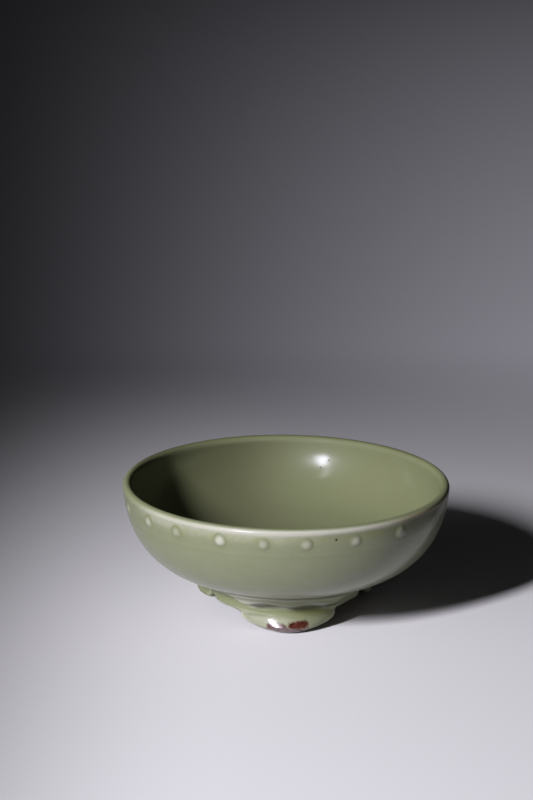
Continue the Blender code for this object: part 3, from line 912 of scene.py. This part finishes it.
def celadon_finish(name, gloss, burns=False, pinholes=()):
    """Glossy glaze over stoneware, with an orange-peel skin, and burnt clay where it was wiped."""
    finish = Finish(name)
    holes = sum((finish.near(point, radius) for point, radius in pinholes), 0.0)
    marks = finish.node("ShaderNodeClamp", None, {"Value": holes})
    bare = (finish.field("bare") + 0.25 * finish.cloud(CLAY_GRAIN, 3.0)).step(0.35, 0.65)
    clay = finish.blend(finish.cloud(CLAY_CLOUD, 4.0).step(-0.6, 0.8), BURNT_CLAY, FRESH_CLAY)
    colour = finish.blend(bare, glaze_colour(finish, marks), clay)
    colour, shine = scorched(finish, colour) if burns else (colour, 0.0)
    dry = finish.field("dry")
    covered = (1.0 - bare) * (1.0 - 0.96 * dry) * (1.0 - marks)
    skin = finish.cloud(SKIN_WAVE, 1.0) + 0.40 * finish.cloud(SKIN_GRAIN, 1.0, 0.5)
    polish = 0.04 * finish.cloud(POLISH_PATCH)
    finish.surface(
        Base_Color=colour,
        Roughness=GLAZE_ROUGHNESS + polish + 0.4 * bare + 0.2 * dry - 0.25 * shine,
        Specular_IOR_Level=0.25,
        Coat_Weight=(gloss * covered).larger(shine),
        Coat_Roughness=COAT_ROUGHNESS,
        Normal=finish.bump(skin, SKIN_HEIGHT),
    )
    return finish.material


# The pieces

bowl_glaze = celadon_finish("celadon_on_bowl", BOWL_GLOSS, pinholes=PINHOLES)
stud_glaze = celadon_finish("celadon_on_studs", STUD_GLOSS)
foot_glaze = celadon_finish("celadon_on_feet", FOOT_GLOSS, burns=True)
bowl_piece(bowl_glaze)
for number in range(len(STUDS)):
    stud_piece(number, stud_glaze)
for name, sag_left, sag_right, tip, patch in FEET:
    foot_piece(name, foot_glaze, sag_left, sag_right, tip, patch)

# Floor, light and camera

# Floor colours: a painted pool of light lies between the pale and the dark one, and the back glow is a
# painted glow
FLOOR_PALE = (0.652, 0.637, 0.693, 1.0)
FLOOR_DARK = (0.006, 0.006, 0.007, 1.0)
BLACK = (0.0, 0.0, 0.0, 1.0)
BACK_GLOW = (0.214, 0.209, 0.239, 1.0)
FLOOR_HALF = 9.0

# Where the floor's painted pool of light ends, across and away from the washer
PALE_LEFT = (-0.266, -0.02)
PALE_RIGHT = (0.0, 0.15)
PALE_BACK = (-0.086, 0.527)

# The camera, its turns in degrees and its distance before the washer, from which the floor's light fans out
LENS, SENSOR = 85.0, 36.0
PITCH, YAW, ROLL = 14.89, -0.63, 0.21
CAMERA_PLACE = (0.0, -0.9138, 0.3497)
FAN_FROM = 0.914
FAN_NEAREST = 0.3

# Slopes in the fan past which the floor at the right is painted dark to all but the camera: a painted shade
# that the glaze reflects, and that throws little light on the washer
DIM_SLOPES = (0.150, 0.190)

# The painted glow far behind, light given off by the floor though it is no lamp: its slopes in the fan, and
# how far away it starts, starts to fade, and turns from black
GLOW_SLOPES = (-0.198, 0.192)
GLOW_START = (0.10, 0.582)
GLOW_FADE = 0.6
BLACK_END = (0.1, 0.4)

# Lamps: name, direction of the light in degrees from +X, elevation, width, height and power
LAMP_TARGET = Vector((0.0, 0.0, 0.05))
KEY_DISTANCE, GLOSS_DISTANCE = 2.6, 2.0
KEY_LAMP = ("key_lamp", 50.6, 28.5, 0.27, 0.60, 130.0)
GLOSS_LAMPS = (
    ("gloss_core", 60.1, 12.5, 0.24, 0.84, 12.5),
    ("gloss_lamp", 62.2, 10.0, 0.38, 0.80, 14.0),
    ("gloss_wing", 69.0, 18.0, 0.40, 0.50, 1.2),
    ("gloss_tail", 55.0, 33.0, 0.15, 0.80, 2.8),
    ("gloss_halo", 62.0, 8.0, 1.00, 1.40, 5.0),
)
GLOSS_COLOUR = (0.84, 0.83, 1.0)
AIR_COLOUR = (1.0, 0.97, 0.92, 1.0)
AIR_LEVEL = 0.016


def floor_sheet():
    """A pale floor, with a painted pool of light round the washer that falls into a painted glow far behind
    it, and, to all but the camera, painted shade off to the right.
    """
    finish = Finish("floor_with_painted_light")
    across, away = finish.axis("X"), finish.axis("Y")
    fan = across / (away + FAN_FROM).larger(FAN_NEAREST)
    seen = finish.node("ShaderNodeLightPath", output="Is Camera Ray")
    # Painted light: palest round the washer, darker away from it and to the sides
    pale = (1.0 - away.step(*PALE_BACK)) * across.step(*PALE_LEFT) * (1.0 - 0.036 * across.step(*PALE_RIGHT))
    # Painted shade at the right, for all but camera rays
    pale = pale * (1.0 - 0.85 * fan.step(*DIM_SLOPES) * (1.0 - seen))
    # Painted glow far behind
    glow = fan.step(*GLOW_SLOPES) * away.step(*GLOW_START) / (1.0 + 0.46 * (away - GLOW_FADE).larger(0.0))
    dark = finish.blend(away.step(*BLACK_END), BLACK, FLOOR_DARK)
    finish.surface(
        Base_Color=finish.blend(pale, FLOOR_DARK, FLOOR_PALE),
        Roughness=0.75,
        Specular_IOR_Level=0.2,
        Emission_Color=finish.blend(glow, dark, BACK_GLOW),
        Emission_Strength=1.0,
    )
    mesh = bpy.data.meshes.new("floor_sheet")
    corners = [(x * FLOOR_HALF, y * FLOOR_HALF, 0.0) for x, y in ((-1, -1), (1, -1), (1, 1), (-1, 1))]
    mesh.from_pydata(corners, [], [(0, 1, 2, 3)])
    mesh.materials.append(finish.material)
    sheet = bpy.data.objects.new("floor_sheet", mesh)
    bpy.context.scene.collection.objects.link(sheet)


def tall_lamp(name, travel, elevation, width, height, power, distance):
    """A tall soft box aimed at the bowl; travel is the way that its light goes, in degrees from +X."""
    lamp = bpy.data.lights.new(name, "AREA")
    lamp.shape = "ELLIPSE"
    lamp.size = width
    lamp.size_y = height
    lamp.energy = power
    holder = bpy.data.objects.new(name, lamp)
    bpy.context.scene.collection.objects.link(holder)
    turn, rise = math.radians(travel), math.radians(elevation)
    back = Vector((-math.cos(turn) * math.cos(rise), -math.sin(turn) * math.cos(rise), math.sin(rise)))
    holder.location = LAMP_TARGET + back * distance
    holder.rotation_mode = "QUATERNION"
    holder.rotation_quaternion = (-back).to_track_quat("-Z", "Y")
    return holder


def studio_lamps():
    """The key lamp makes the shading and the shadow, and the gloss lamps make only the highlights."""
    key = tall_lamp(*KEY_LAMP, KEY_DISTANCE)
    key.visible_glossy = False
    for lamp in GLOSS_LAMPS:
        gloss = tall_lamp(*lamp, GLOSS_DISTANCE)
        gloss.data.color = GLOSS_COLOUR
        gloss.visible_diffuse = False


def studio_air():
    """Even light from all round."""
    world = bpy.data.worlds.new("studio_air")
    world.use_nodes = True
    background = world.node_tree.nodes["Background"]
    background.inputs["Color"].default_value = AIR_COLOUR
    background.inputs["Strength"].default_value = AIR_LEVEL
    bpy.context.scene.world = world


def camera():
    """The photograph's view: an 85 mm lens just under a metre away, looking 15 degrees down."""
    data = bpy.data.cameras.new("camera")
    data.sensor_width = SENSOR
    data.lens = LENS
    pitch, yaw, roll = (math.radians(turn) for turn in (PITCH, YAW, ROLL))
    forward = Vector((math.sin(yaw) * math.cos(pitch), math.cos(yaw) * math.cos(pitch), -math.sin(pitch)))
    right = Vector((math.cos(yaw), -math.sin(yaw), 0.0))
    up = right.cross(forward)
    rolled_right = right * math.cos(roll) + up * math.sin(roll)
    rolled_up = up * math.cos(roll) - right * math.sin(roll)
    holder = bpy.data.objects.new("camera", data)
    bpy.context.scene.collection.objects.link(holder)
    turn = Matrix((rolled_right, rolled_up, -forward)).transposed()
    holder.matrix_world = Matrix.Translation(CAMERA_PLACE) @ turn.to_4x4()
    bpy.context.scene.camera = holder


floor_sheet()
studio_lamps()
studio_air()
camera()
bpy.context.scene.view_settings.view_transform = "Standard"
